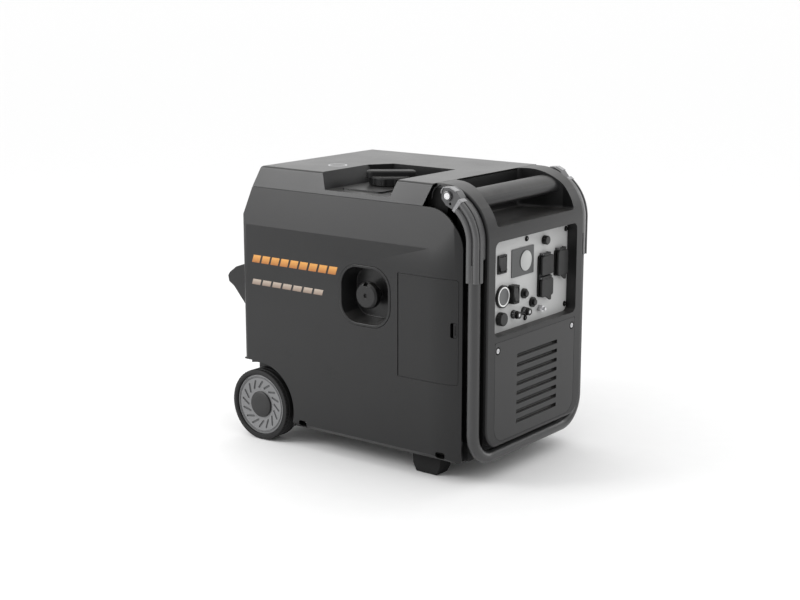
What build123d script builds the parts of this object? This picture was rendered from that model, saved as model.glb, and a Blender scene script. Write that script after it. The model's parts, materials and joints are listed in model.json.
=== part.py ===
from build123d import *
from math import cos, radians, sin
import os

# Portable inverter generator, closed case, two wheels and a fold-out pull handle.
# Millimetres. +X is the control-panel end, +Y the right-hand side, +Z up, z = 0 the ground.

# ---- overall form
front_x = 288.5  # face of the front frame
rear_x = -241.5  # rear wall
top_z = 510
base_z = 38  # underside of the case
bend_z = 403  # sides start to lean in
seam_z = 472  # top cover meets side covers
side_y, seam_y, crown_y = 177, 168, 160  # half widths at the sides, the seam and the top
wall = 3
gap = 0.6  # shut line between panels
inner_y = 152.4  # side covers stand outside this
corner_r = 90  # top front corner of the front frame
corner_x, corner_z = front_x - corner_r, top_z - corner_r
cover_front_x = 248  # front edge of the side covers

# ---- front frame
frame_y = 151.5
frame_base_z = 63
face_corner_r = 38
plate_x = 268.5  # front face of the control plate
recess_y, recess_low, recess_high = 130, 255, 417
vent_y, vent_low, vent_high = 128.5, 71, 246
slot_count, slot_low, slot_pitch, slot_height = 8, 92, 16.6, 7
slot_centre_y, slot_width = 5, 130
vent_screw_y, vent_screw_z, screw_head = 119, 231.5, 2

# ---- pull handle
tube_r, tube_bore_r = 10.5, 8.5
tube_x, tube_y, crossbar_z, tube_bend_r = 270.9, 165.2, 43.5, 50
pivot_x, pivot_z, bolt_r = 219.5, 493.8, 4
sleeve_in_r, sleeve_out_r = 61, 85.5
sleeve_inner_y, sleeve_outer_y = 152.5, 177
sleeve_groove_r, sleeve_groove_y = 73.8, 170.5
sleeve_foot_z, sleeve_angle = 354, 56

# ---- wheels and feet
axle_x, axle_z, axle_r = -198.2, 66.4, 6
tyre_r, rim_r, cap_r = 66.4, 56.3, 24.8
wheel_in_y, wheel_out_y = 144, 182
arch_r = 80
foot_x, foot_y, foot_top_z = 164, 135, 37.6

# ---- left-side openings
recoil_x, recoil_z, recoil_w, recoil_h, recoil_r = 49.2, 304.5, 113.5, 109, 40
recoil_depth = 35
door_x0, door_x1, door_z0, door_z1 = 120.5, 242, 174, 355
hinge_r, hinge_pin_r = 2.5, 1.2

# ---- top
fuel_x0, fuel_x1, fuel_y, fuel_floor_z = -59, 111, 8, 480
fuel_slope = 15  # run of the wall next to the front frame
cap_x, cap_y, cap_low_z, cap_out_r, neck_r = 15.5, -58, 484.5, 39, 27
grip_x0, grip_low_z = 183.5, 441

# ---- engine, along the crankshaft axis
crank_x, crank_z, crank_r = 30, 232, 12
running_fit = 0.05

os.makedirs("parts", exist_ok=True)


def block(x0, x1, y0, y1, z0, z1, mode=Mode.ADD):
    with Locations(((x0 + x1) / 2, (y0 + y1) / 2, (z0 + z1) / 2)):
        Box(x1 - x0, y1 - y0, z1 - z0, mode=mode)


def save(part, name):
    part.label = name
    export_step(part, f"parts/{name}.step")


def front_plane(x):
    return Plane.YZ.offset(x)


def side_plane(y):
    return Plane.XZ.offset(-y)


def disc(plane, at, radius, height, mode=Mode.ADD):
    with BuildSketch(plane) as outline:
        with Locations(at):
            Circle(radius)
    extrude(outline.sketch, amount=height, mode=mode)


def ring(plane, at, outer, inner, height):
    with BuildSketch(plane) as outline:
        with Locations(at):
            Circle(outer)
            Circle(inner, mode=Mode.SUBTRACT)
    extrude(outline.sketch, amount=height)


def rounded(plane, at, width, height, radius, amount, mode=Mode.ADD, taper=0):
    with BuildSketch(plane) as outline:
        with Locations(at):
            RectangleRounded(width, height, radius)
    extrude(outline.sketch, amount=amount, mode=mode, taper=taper)


def prism(plane, points, amount, mode=Mode.ADD, both=False, radius=0):
    with BuildSketch(plane) as outline:
        with BuildLine():
            Polyline(*points, close=True)
        make_face()
        if radius:
            fillet(outline.vertices(), radius)
    extrude(outline.sketch, amount=amount, mode=mode, both=both)


# ================================================================ casing forms


def body_form(inset):
    with BuildPart() as form:
        with BuildSketch(Plane.XZ) as profile:
            with BuildLine():
                Polyline(
                    (rear_x, base_z),
                    (rear_x, bend_z),
                    (rear_x + 24, seam_z),
                    (rear_x + 40, top_z),
                    (front_x, top_z),
                    (front_x, base_z),
                    close=True,
                )
            make_face()
            fillet(profile.vertices().group_by(Axis.Y)[-2], 30)
            fillet(profile.vertices().group_by(Axis.Y)[-1].sort_by(Axis.X)[0], 8)
            offset(amount=-inset, kind=Kind.INTERSECTION)
        extrude(amount=200, both=True)
        with BuildSketch(Plane.YZ) as section:
            with BuildLine():
                Polyline(
                    (-side_y + 8, base_z),
                    (-side_y, base_z + 8),
                    (-side_y, bend_z),
                    (-seam_y, seam_z),
                    (-crown_y, top_z),
                    (crown_y, top_z),
                    (seam_y, seam_z),
                    (side_y, bend_z),
                    (side_y, base_z + 8),
                    (side_y - 8, base_z),
                    close=True,
                )
            make_face()
            fillet(section.vertices().group_by(Axis.Y)[-1], 5)
            offset(amount=-inset, kind=Kind.INTERSECTION)
        extrude(amount=400, both=True, mode=Mode.INTERSECT)
        with BuildSketch(Plane.XY.offset(300)) as plan:
            with BuildLine():
                back = Line((rear_x, 0), (rear_x, side_y - 14))
                RadiusArc(back @ 1, (rear_x + 14, side_y), 14)
                side = Line((rear_x + 14, side_y), (185, side_y))
                ease = JernArc(side @ 1, side % 1, 190, -22)
                Line(ease @ 1, (front_x + 40, (ease @ 1).Y - 40))
                Line((front_x + 40, (ease @ 1).Y - 40), (front_x + 40, 0))
                mirror(about=Plane.XZ)
            make_face()
            offset(amount=-inset, kind=Kind.INTERSECTION)
        extrude(amount=320, both=True, mode=Mode.INTERSECT)
    return form.part


outer_form = body_form(0)
inner_form = body_form(wall)

with BuildPart() as shell:
    add(outer_form)
    add(inner_form, mode=Mode.SUBTRACT)
casing_shell = shell.part


def front_form(inset, half_width, rear_x_limit):
    # closed front frame: flat face, round top corner, rounded lower corners
    with BuildPart() as form:
        with BuildSketch(Plane.XZ) as profile:
            with BuildLine():
                top = Line((rear_x_limit, top_z), (corner_x, top_z))
                bow = RadiusArc(top @ 1, (front_x, corner_z), corner_r)
                Polyline(
                    bow @ 1,
                    (front_x, frame_base_z),
                    (255, frame_base_z - 4),
                    (251, base_z + 3),
                    (rear_x_limit, base_z + 3),
                    (rear_x_limit, top_z),
                )
            make_face()
            fillet(profile.vertices().sort_by(Axis.X)[-2:].sort_by(Axis.Y)[0], 8)
            offset(amount=-inset, kind=Kind.INTERSECTION)
        extrude(amount=half_width, both=True)
        with BuildSketch(Plane.YZ) as section:
            with Locations((0, (top_z + frame_base_z) / 2)):
                Rectangle(2 * half_width, top_z - frame_base_z - 2 * inset)
            fillet(section.vertices().group_by(Axis.Y)[0], face_corner_r - inset)
        front_slab = extrude(amount=400, both=True, mode=Mode.PRIVATE)
        keep = front_slab + Box(504, 400, 1200, mode=Mode.PRIVATE)
        add(keep, mode=Mode.INTERSECT)
    return form.part


frame_outer = front_form(0, frame_y, 150)
frame_inner = front_form(wall, frame_y - wall, 150)

# ================================================================ side covers


def arch_cut():
    # wheel arch and the stepped rear lower edge
    disc(side_plane(200), (axle_x, axle_z), arch_r, 400, mode=Mode.SUBTRACT)
    block(rear_x - 30, axle_x, -200, 200, 0, 144, mode=Mode.SUBTRACT)
    block(rear_x - 30, rear_x + 22, -200, 200, 0, 150, mode=Mode.SUBTRACT)


def cover_outline():
    # side covers stop at a vertical front edge that turns into a round shoulder
    shoulder_r = seam_z - bend_z - gap
    with BuildSketch(Plane.XZ) as outline:
        with BuildLine():
            low = Polyline(
                (rear_x - 20, base_z - 5),
                (cover_front_x, base_z - 5),
                (cover_front_x, bend_z),
            )
            RadiusArc(low @ 1, (cover_front_x - shoulder_r, seam_z - gap), -shoulder_r)
            Polyline(
                (cover_front_x - shoulder_r, seam_z - gap),
                (rear_x - 20, seam_z - gap),
                (rear_x - 20, base_z - 5),
            )
        make_face()
    extrude(outline.sketch, amount=200, both=True, mode=Mode.INTERSECT)


def side_cover(side):
    near, far = sorted((side * inner_y, side * 200))
    with BuildPart() as cover:
        add(casing_shell)
        cover_outline()
        block(-400, 400, near, far, 0, 600, mode=Mode.INTERSECT)
        arch_cut()
        y0, y1 = sorted((side * 100, side * (side_y - wall - 0.2)))
        disc(side_plane(y1), (axle_x, axle_z), arch_r + 4.2, y1 - y0, mode=Mode.SUBTRACT)
    return cover.part


door_height = door_z1 - door_z0


def door_outline(shrink, mode):
    # square corners at the hinge, round ones at the latch
    with BuildSketch(side_plane(-140)) as outline:
        with Locations(((door_x0 + door_x1) / 2, (door_z0 + door_z1) / 2)):
            Rectangle(door_x1 - door_x0 - 2 * shrink, door_height - 2 * shrink)
        fillet(outline.vertices().group_by(Axis.X)[0], 1.2)
        fillet(outline.vertices().group_by(Axis.X)[-1], 6 - shrink)
    extrude(outline.sketch, amount=60, mode=mode)


hinge_x, hinge_y = door_x0 + hinge_r + gap, -side_y + hinge_r
latch_x, latch_z, latch_w, latch_h = 233.5, 268.5, 12, 26

with BuildPart() as left_side_cover:
    add(side_cover(-1))
    rounded(side_plane(-140), (recoil_x, recoil_z), recoil_w, recoil_h, recoil_r, 60, mode=Mode.SUBTRACT)
    door_outline(0, Mode.SUBTRACT)
    # hinge bosses above and below the door
    for low, high in ((door_z0 - 9, door_z0 - 0.4), (door_z1 + 0.4, door_z1 + 9)):
        block(hinge_x - 4, hinge_x + 4, -side_y + wall, -side_y + 9, low, high)
        disc(Plane.XY.offset(low - 1), (hinge_x, hinge_y), hinge_pin_r, high - low + 2, mode=Mode.SUBTRACT)
    # drain notches in the lower edge
    for x in (-97, 210):
        rounded(side_plane(-150), (x, base_z + 9), 18, 12, 4, 60, mode=Mode.SUBTRACT)
save(left_side_cover.part, "left_side_cover")

with BuildPart() as right_side_cover:
    add(side_cover(1))
    # cooling air intake: two banks of slots
    for row in range(7):
        rounded(side_plane(200), (20, 120 + 18 * row), 150, 8, 3.9, 60, mode=Mode.SUBTRACT)
    for x in (-97, 210):
        rounded(side_plane(200), (x, base_z + 9), 18, 12, 4, 60, mode=Mode.SUBTRACT)
save(right_side_cover.part, "right_side_cover")

# ================================================================ service door

with BuildPart() as service_door:
    add(casing_shell)
    block(-400, 400, -200, -inner_y, 0, 600, mode=Mode.INTERSECT)
    door_outline(gap, Mode.INTERSECT)
    # rolled hinge edge
    block(door_x0, hinge_x, -200, -100, 0, 600, mode=Mode.SUBTRACT)
    disc(Plane.XY.offset(door_z0 + gap), (hinge_x, hinge_y), hinge_r, door_height - 2 * gap)
    disc(
        Plane.XY.offset(door_z0),
        (hinge_x, hinge_y),
        hinge_pin_r + running_fit,
        door_height,
        mode=Mode.SUBTRACT,
    )
    # seat of the sliding latch
    rounded(side_plane(-140), (latch_x, latch_z), latch_w, latch_h, 3, 60, mode=Mode.SUBTRACT)
save(service_door.part, "service_door")

with BuildPart() as door_hinge_pin:
    disc(Plane.XY.offset(door_z0 - 8), (hinge_x, hinge_y), hinge_pin_r, door_height + 16)
save(door_hinge_pin.part, "door_hinge_pin")

latch_travel = 5
with BuildPart() as door_latch:
    add(casing_shell)
    rounded(
        side_plane(-150),
        (latch_x + latch_travel / 2, latch_z),
        latch_w - latch_travel - 1,
        latch_h - 1,
        2.5,
        50,
        mode=Mode.INTERSECT,
    )
    # thumb groove
    block(latch_x + 2, latch_x + 4, -200, -168.8, latch_z - 9, latch_z + 9, mode=Mode.SUBTRACT)
save(door_latch.part, "door_latch")

# ================================================================ recoil starter

knob_x, knob_z, knob_r = 48.5, 304, 23.5
cup_floor_y = -side_y + recoil_depth

with BuildPart() as recoil_cup:
    # flange, tapered wall and floor
    rounded(side_plane(-side_y - 1), (recoil_x, recoil_z), recoil_w - 1.2, recoil_h - 1.2, recoil_r - 0.6, -8)
    rounded(
        side_plane(-side_y + 4),
        (recoil_x, recoil_z),
        recoil_w - 3,
        recoil_h - 3,
        recoil_r - 1.5,
        -(recoil_depth - 1),
        taper=10,
    )
    rounded(
        side_plane(-side_y - 2),
        (recoil_x, recoil_z),
        recoil_w - 10,
        recoil_h - 10,
        recoil_r - 5,
        -(recoil_depth + 2),
        mode=Mode.SUBTRACT,
        taper=10,
    )
    # rope guide
    ring(side_plane(cup_floor_y), (knob_x, knob_z), 12, 6, 4)
    disc(side_plane(cup_floor_y + 10), (knob_x, knob_z), 6, 20, mode=Mode.SUBTRACT)
save(recoil_cup.part, "recoil_cup")

with BuildPart() as recoil_grip:
    # round pull cap with a waist behind it and the rope ferrule
    with BuildSketch(Plane.XY.offset(knob_z)) as half:
        with BuildLine():
            Polyline(
                (knob_x, -174),
                (knob_x + 20, -174),
                (knob_x + knob_r, -170.5),
                (knob_x + knob_r, -160),
                (knob_x + 18, -156),
                (knob_x + 12, -152),
                (knob_x + 12, -147.5),
                (knob_x + 5.5, -147.5),
                (knob_x + 5.5, -136),
                (knob_x, -136),
                close=True,
            )
        make_face()
    revolve(axis=Axis((knob_x, 0, knob_z), (0, 1, 0)))
    disc(side_plane(-171), (knob_x, knob_z), 4, 10, mode=Mode.SUBTRACT)
    block(knob_x - 4, knob_x + 4, -180, -166, knob_z + 17, knob_z + 30, mode=Mode.SUBTRACT)
save(recoil_grip.part, "recoil_grip")

# ================================================================ top cover

cover_cut = [
    (rear_x - 10, seam_z),
    (166, seam_z),
    (grip_x0 - 0.5, top_z + 1),
    (rear_x - 10, top_z + 1),
]
recess_line = [
    (fuel_x0, top_z + 5),
    (fuel_x0 + 12, fuel_floor_z),
    (fuel_x1 - fuel_slope, fuel_floor_z),
    (fuel_x1, top_z + 5),
]
recess_skin = [
    (fuel_x0 - wall, top_z),
    (fuel_x0 + 12 - wall, fuel_floor_z - wall),
    (fuel_x1 - fuel_slope + wall, fuel_floor_z - wall),
    (fuel_x1 + wall, top_z),
]

# the inner rear corner of the recess is cut off at a slant
recess_corner = [(-75, -57.7), (-22, 18), (-75, 18)]
skin_corner = [(x - 1.5 * wall, y) for x, y in recess_corner]

with BuildPart() as fuel_well:
    prism(side_plane(fuel_y + wall), recess_skin, 200)
    prism(Plane.XY.offset(400), skin_corner, 200, mode=Mode.SUBTRACT)
    add(outer_form, mode=Mode.INTERSECT)

with BuildPart() as fuel_recess:
    prism(side_plane(fuel_y), recess_line, 200)
    prism(Plane.XY.offset(400), recess_corner, 200, mode=Mode.SUBTRACT)

with BuildPart() as top_cover:
    add(casing_shell)
    prism(Plane.XZ, cover_cut, 200, mode=Mode.INTERSECT, both=True)
    add(fuel_well.part)
    add(fuel_recess.part, mode=Mode.SUBTRACT)
    # raised seat under the fuel cap, with the neck hole through it
    rounded(Plane.XY.offset(fuel_floor_z), (cap_x, -76), 88, 136, 8, 3)
    disc(Plane.XY.offset(fuel_floor_z - 10), (cap_x, cap_y), neck_r + 2, 20, mode=Mode.SUBTRACT)
    # small round service plug moulded into the top
    ring(Plane.XY.offset(top_z - 1), (-96.5, -71), 17.5, 14.5, 1.8)
    add(outer_form, mode=Mode.INTERSECT)
save(top_cover.part, "top_cover")

with BuildPart() as fuel_cap:
    disc(Plane.XY.offset(cap_low_z), (cap_x, cap_y), cap_out_r - 2, 15)
    fillet(fuel_cap.faces().sort_by(Axis.Z)[-1].edges(), 4)
    with Locations((cap_x, cap_y, cap_low_z)):
        with PolarLocations(cap_out_r - 6, 10):
            Cylinder(6, 12, align=(Align.CENTER, Align.CENTER, Align.MIN))
    # hand grip across the crown, longer than the body is wide
    with BuildSketch(Plane.XY.offset(cap_low_z + 11)):
        with Locations((cap_x, cap_y)):
            SlotOverall(88, 27, rotation=37)
    extrude(amount=13)
    fillet(fuel_cap.faces().sort_by(Axis.Z)[-1].edges(), 4)
    disc(Plane.XY.offset(cap_low_z - 1), (cap_x, cap_y), neck_r + running_fit, 10, mode=Mode.SUBTRACT)
save(fuel_cap.part, "fuel_cap")

# ================================================================ rear cover

exhaust_y, exhaust_z, exhaust_r = 70, 205, 18
rear_half = inner_y - gap

with BuildPart() as rear_cover:
    add(casing_shell)
    block(-400, -195, -rear_half, rear_half, 150.5, seam_z - gap, mode=Mode.INTERSECT)
    disc(front_plane(rear_x - 20), (exhaust_y, exhaust_z), exhaust_r + 8, 60, mode=Mode.SUBTRACT)
    for row in range(6):
        rounded(front_plane(rear_x - 20), (-50, 172 + 11 * row), 110, 5, 2.4, 40, mode=Mode.SUBTRACT)
    for row in range(5):
        rounded(front_plane(rear_x - 20), (0, 345 + 11 * row), 180, 5, 2.4, 40, mode=Mode.SUBTRACT)
save(rear_cover.part, "rear_cover")

grip_bar_y = 150
cheek = [
    (rear_x, 326),
    (-268, 316.5),
    (-284, 304.5),
    (-288.5, 298),
    (-286.5, 287),
    (-273.5, 279),
    (rear_x, 243),
]
with BuildPart() as rear_grip:
    # two cheeks and a hand bar between them
    for side in (-1, 1):
        y0, y1 = sorted((side * grip_bar_y, side * (grip_bar_y + 13)))
        prism(side_plane(y1), cheek, y1 - y0, radius=2)
    with BuildSketch(side_plane(grip_bar_y)) as bar:
        with BuildLine():
            Polyline(
                (-266, 316.8),
                (-284, 304.5),
                (-288.5, 298),
                (-286.5, 288),
                (-276, 285),
                (-262, 296),
                close=True,
            )
        make_face()
        fillet(bar.vertices(), 3)
    extrude(amount=2 * grip_bar_y)
    # shelf that closes the hollow over the fingers
    prism(side_plane(grip_bar_y), [(rear_x, 326), (-266, 316.8), (-266, 313), (rear_x, 322)], 2 * grip_bar_y)
save(rear_grip.part, "rear_grip")

# ================================================================ base tray and running gear

tray_front_x = 250.4
well_half = 134  # body half width between the wheels
tray_half = 148
with BuildPart() as base_tray:
    block(axle_x + 86, tray_front_x, -tray_half, tray_half, base_z, base_z + wall)
    block(rear_x + 1, axle_x + 90, -well_half, well_half, base_z, base_z + wall)
    block(tray_front_x - wall, tray_front_x, -tray_half, tray_half, base_z, 56)
    block(rear_x + 1, rear_x + 1 + wall, -well_half, well_half, base_z, 150)
    for side in (-1, 1):
        y0, y1 = sorted((side * (well_half - wall), side * well_half))
        block(rear_x + 1, axle_x + 86, y0, y1, base_z, 150)
        y0, y1 = sorted((side * (tray_half - wall), side * tray_half))
        block(axle_x + 86, tray_front_x, y0, y1, base_z, 70)
        y0, y1 = sorted((side * (well_half - wall), side * tray_half))
        block(axle_x + 86, axle_x + 89, y0, y1, base_z, 70)
        # arch over each wheel
        y0, y1 = sorted((side * (well_half - 1), side * 173.6))
        with BuildSketch(side_plane(y1)) as arch:
            with Locations((axle_x, axle_z)):
                Circle(arch_r + 3.5)
            with Locations((axle_x - 60, axle_z)):
                Rectangle(120, 200, mode=Mode.SUBTRACT)
            with Locations((axle_x, base_z - 60)):
                Rectangle(300, 120, mode=Mode.SUBTRACT)
            with Locations((axle_x, axle_z)):
                Circle(arch_r + 0.6, mode=Mode.SUBTRACT)
        extrude(amount=y1 - y0)
        block(rear_x + 1, axle_x + 3, y0, y1, axle_z + arch_r + 0.6, axle_z + arch_r + 3.5)
        # axle boss
        y0, y1 = sorted((side * (well_half - 12), side * (well_half + 4)))
        disc(side_plane(y1), (axle_x, axle_z), 16, y1 - y0)
    disc(side_plane(200), (axle_x, axle_z), axle_r, 400, mode=Mode.SUBTRACT)
save(base_tray.part, "base_tray")

axle_end_y = 176
with BuildPart() as axle:
    disc(side_plane(axle_end_y), (axle_x, axle_z), axle_r, 2 * axle_end_y)
    chamfer(axle.edges().filter_by(GeomType.CIRCLE), 1)
save(axle.part, "axle")

spoke_count = 16
for name, side in (("left", -1), ("right", 1)):
    in_y, out_y = side * wheel_in_y, side * wheel_out_y
    with BuildPart() as tyre:
        with BuildSketch(Plane.XY.offset(axle_z)):
            with BuildLine():
                Polyline(
                    (axle_x + rim_r, in_y + side * 2),
                    (axle_x + tyre_r - 2, in_y),
                    (axle_x + tyre_r, in_y + side * 3),
                    (axle_x + tyre_r, out_y - side * 3),
                    (axle_x + tyre_r - 2, out_y),
                    (axle_x + rim_r, out_y - side * 2),
                    close=True,
                )
            make_face()
        revolve(axis=Axis((axle_x, 0, axle_z), (0, 1, 0)))
    save(tyre.part, f"{name}_tyre")

    with BuildPart() as rim:
        with BuildSketch(Plane.XY.offset(axle_z)):
            with BuildLine():
                Polyline(
                    (axle_x + axle_r + running_fit, in_y - side * 3),
                    (axle_x + 15, in_y - side * 3),
                    (axle_x + 15, out_y - side * 12),
                    (axle_x + rim_r - 5, out_y - side * 12),
                    (axle_x + rim_r - 5, in_y + side * 3),
                    (axle_x + rim_r, in_y + side * 3),
                    (axle_x + rim_r, out_y - side * 4),
                    (axle_x + rim_r - 3, out_y - side * 3),
                    (axle_x + cap_r, out_y - side * 6),
                    (axle_x + axle_r + running_fit, out_y - side * 6),
                    close=True,
                )
            make_face()
        revolve(axis=Axis((axle_x, 0, axle_z), (0, 1, 0)))
        # slanted cooling slots round the disc
        with BuildSketch(side_plane(side * 200)):
            with Locations((axle_x, axle_z)):
                with PolarLocations(38, spoke_count):
                    SlotOverall(19, 4, rotation=side * 38)
        extrude(amount=side * 60, mode=Mode.SUBTRACT)
    save(rim.part, f"{name}_rim")

    with BuildPart() as hub_cap:
        cap_y0 = out_y - side * 6
        disc(side_plane(cap_y0), (axle_x, axle_z), cap_r - 0.4, -side * 4)
        fillet(hub_cap.faces().sort_by(Axis.Y)[0 if side < 0 else -1].edges(), 2)
    save(hub_cap.part, f"{name}_hub_cap")

with BuildPart() as front_feet:
    # moulded rubber blocks, wider at the top
    for side in (-1, 1):
        with BuildSketch(side_plane(side * foot_y + 16)) as foot:
            with BuildLine():
                Polyline(
                    (foot_x - 22, 0),
                    (foot_x + 22, 0),
                    (foot_x + 29, 14),
                    (foot_x + 31, foot_top_z),
                    (foot_x - 31, foot_top_z),
                    (foot_x - 29, 14),
                    close=True,
                )
            make_face()
            fillet(foot.vertices().group_by(Axis.Y)[1], 4)
        extrude(amount=32)
save(front_feet.part, "front_feet")

# ================================================================ front frame

grip_plan = [
    (grip_x0, -98),
    (234, -112),
    (262, -122),
    (310, -121),
    (310, 121),
    (262, 122),
    (234, 112),
    (grip_x0, 98),
]


def grip_opening(grow, low_z, high_z):
    # hollow of the carrying grip: widens forwards, round lower corners in the face
    with BuildPart() as hollow:
        with BuildSketch(Plane.XY.offset(low_z)) as plan:
            with BuildLine():
                Polyline(*grip_plan, close=True)
            make_face()
            fillet(plan.vertices().group_by(Axis.X)[0], 9)
            if grow:
                offset(amount=grow, kind=Kind.INTERSECTION)
        extrude(amount=high_z - low_z)
        fillet(hollow.faces().sort_by(Axis.Z)[0].edges().filter_by(GeomType.LINE), 6)
    return hollow.part


grip_hollow = grip_opening(0, grip_low_z, 530)
grip_skin = grip_opening(2.5, grip_low_z - 2.5, top_z - 3.2)

frame_tail = [
    (216, frame_base_z - 6),
    (216, 436),
    (166, 440),
    (166, 502),
    (grip_x0, 504),
    (grip_x0, 530),
    (400, 530),
    (400, frame_base_z - 6),
]

with BuildPart() as front_fascia:
    add(frame_outer)
    fillet(front_fascia.edges().filter_by(GeomType.CIRCLE).sort_by(SortBy.RADIUS)[-2:], 3)
    add(frame_inner, mode=Mode.SUBTRACT)
    block(100, 240, -frame_y + wall, frame_y - wall, 0, 480, mode=Mode.SUBTRACT)
    prism(Plane.XZ, frame_tail, 200, mode=Mode.INTERSECT, both=True)
    # control recess: opening with a return wall down to the plate
    recess_mid, recess_high_z = (recess_low + recess_high) / 2, recess_high - recess_low
    rounded(front_plane(plate_x + 0.1), (0, recess_mid), 2 * recess_y + 6, recess_high_z + 6, 15, 18)
    rounded(
        front_plane(plate_x - 5), (0, recess_mid), 2 * recess_y, recess_high_z, 12, 40, mode=Mode.SUBTRACT
    )
    # seat of the vent panel with a lip behind it
    vent_mid, vent_size = (vent_low + vent_high) / 2, vent_high - vent_low
    with BuildSketch(front_plane(front_x - 7)) as lip:
        with Locations((0, vent_mid)):
            Rectangle(2 * vent_y + 6, vent_size + 6)
        fillet(lip.vertices().group_by(Axis.Y)[0], 30)
    extrude(amount=4)
    with BuildSketch(front_plane(front_x - wall - 0.2)) as seat:
        with Locations((0, vent_mid)):
            Rectangle(2 * vent_y, vent_size)
        fillet(seat.vertices().group_by(Axis.Y)[0], 27)
    extrude(amount=10, mode=Mode.SUBTRACT)
    with BuildSketch(front_plane(front_x - 20)) as window:
        with Locations((0, vent_mid)):
            Rectangle(2 * vent_y - 16, vent_size - 34)
        fillet(window.vertices(), 20)
    extrude(amount=30, mode=Mode.SUBTRACT)
    # hand opening over the top corner
    add(grip_hollow, mode=Mode.SUBTRACT)
    # handle pivot holes
    disc(side_plane(200), (pivot_x, pivot_z), bolt_r, 400, mode=Mode.SUBTRACT)
save(front_fascia.part, "front_fascia")

with BuildPart() as grip_pocket:
    add(grip_skin)
    add(grip_hollow, mode=Mode.SUBTRACT)
    block(100, 284.5, -200, 200, 400, top_z - 3.3, mode=Mode.INTERSECT)
    with BuildSketch(Plane.XZ):
        with Locations((corner_x, corner_z)):
            Circle(corner_r - wall - 0.2)
        with Locations((corner_x - 50, corner_z)):
            Rectangle(100, 2 * (corner_r - wall - 0.2))
        with Locations((corner_x, corner_z - 40)):
            Rectangle(2 * (corner_r - wall - 0.2), 80)
    extrude(amount=200, both=True, mode=Mode.INTERSECT)
save(grip_pocket.part, "grip_pocket")

bar_x, bar_z, bar_tilt = 236, 484, -32
with BuildPart() as front_grip_bar:
    with BuildSketch(Plane.XZ):
        with Locations((bar_x, bar_z)):
            Ellipse(21, 13, rotation=bar_tilt)
    extrude(amount=150, both=True)
    add(grip_hollow, mode=Mode.INTERSECT)
save(front_grip_bar.part, "front_grip_bar")

with BuildPart() as vent_panel:
    with BuildSketch(front_plane(front_x - wall)) as sheet:
        with Locations((0, vent_mid)):
            Rectangle(2 * vent_y - 1.2, vent_size - 1.2)
        fillet(sheet.vertices().group_by(Axis.Y)[0], 26.4)
        fillet(sheet.vertices().group_by(Axis.Y)[-1], 4)
    extrude(amount=wall)
    for row in range(slot_count):
        slot_z = slot_low + slot_pitch * row
        slot_y0, slot_y1 = slot_centre_y - slot_width / 2, slot_centre_y + slot_width / 2
        rounded(
            front_plane(front_x - 10),
            (slot_centre_y, slot_z + slot_height / 2),
            slot_width,
            slot_height,
            1.5,
            20,
            mode=Mode.SUBTRACT,
        )
        # louvre blade sloping inwards and up behind each slot
        blade = [
            (front_x - wall, slot_z - 2.5),
            (front_x - wall, slot_z),
            (front_x - wall - 6, slot_z + 7),
            (front_x - wall - 6, slot_z + 4.5),
        ]
        prism(side_plane(slot_y1), blade, slot_width)
    # countersunk seats for the two corner screws
    for y in (-vent_screw_y, vent_screw_y):
        disc(front_plane(front_x - 10), (y, vent_screw_z), 2.6, 20, mode=Mode.SUBTRACT)
        disc(front_plane(front_x - screw_head), (y, vent_screw_z), 7, 20, mode=Mode.SUBTRACT)
save(vent_panel.part, "vent_panel")

# ================================================================ control plate and its fittings

rocker_y, rocker_z = -82.5, 372
start_y, start_z = -80.5, 316
breaker_y, breaker_z = -52, 316
reset_points = (("upper", -13, 310.3), ("lower", 14.5, 290.3))
terminal_points = ((-45, 279), (-12, 279))
ground_y, ground_z = 39, 275
mode_y, mode_z = 50.5, 395
valve_y, valve_z = -87, 278.5
duplex_y, duplex_z, duplex_w, duplex_h = 50, 332.2, 38.5, 73.5
twist_y, twist_z, twist_w, twist_h = 101, 348, 33, 46
plate_screws = ((-6, 405), (123, 405), (124, 268), (-6.6, 266))

with BuildPart() as control_plate:
    rounded(front_plane(plate_x - wall), (0, recess_mid), 2 * recess_y + 5, recess_high_z + 5, 14, wall)
    cut_plane = front_plane(plate_x - 10)
    rounded(cut_plane, (rocker_y, rocker_z), 20, 26.6, 1, 20, mode=Mode.SUBTRACT)
    disc(cut_plane, (start_y, start_z), 14.3, 20, mode=Mode.SUBTRACT)
    for _, y, z in reset_points:
        disc(cut_plane, (y, z), 5.6, 20, mode=Mode.SUBTRACT)
    for y, z in ((mode_y, mode_z), (valve_y, valve_z)):
        disc(cut_plane, (y, z), 3 + running_fit, 20, mode=Mode.SUBTRACT)
    for y, z in plate_screws:
        disc(cut_plane, (y, z), 1.6, 20, mode=Mode.SUBTRACT)
    rounded(cut_plane, (duplex_y, duplex_z), duplex_w - 8, duplex_h - 8, 4, 20, mode=Mode.SUBTRACT)
    disc(cut_plane, (twist_y, twist_z), 14, 20, mode=Mode.SUBTRACT)
save(control_plate.part, "control_plate")

bezel_height = 4.8
breaker_depth = 12
with BuildPart() as display_module:
    rounded(front_plane(plate_x), (-18, 367.4), 69, 49, 2, 1.6)
    disc(front_plane(plate_x + 1.6), (-9.5, 367.6), 17.8, 1)
save(display_module.part, "display_module")

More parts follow.
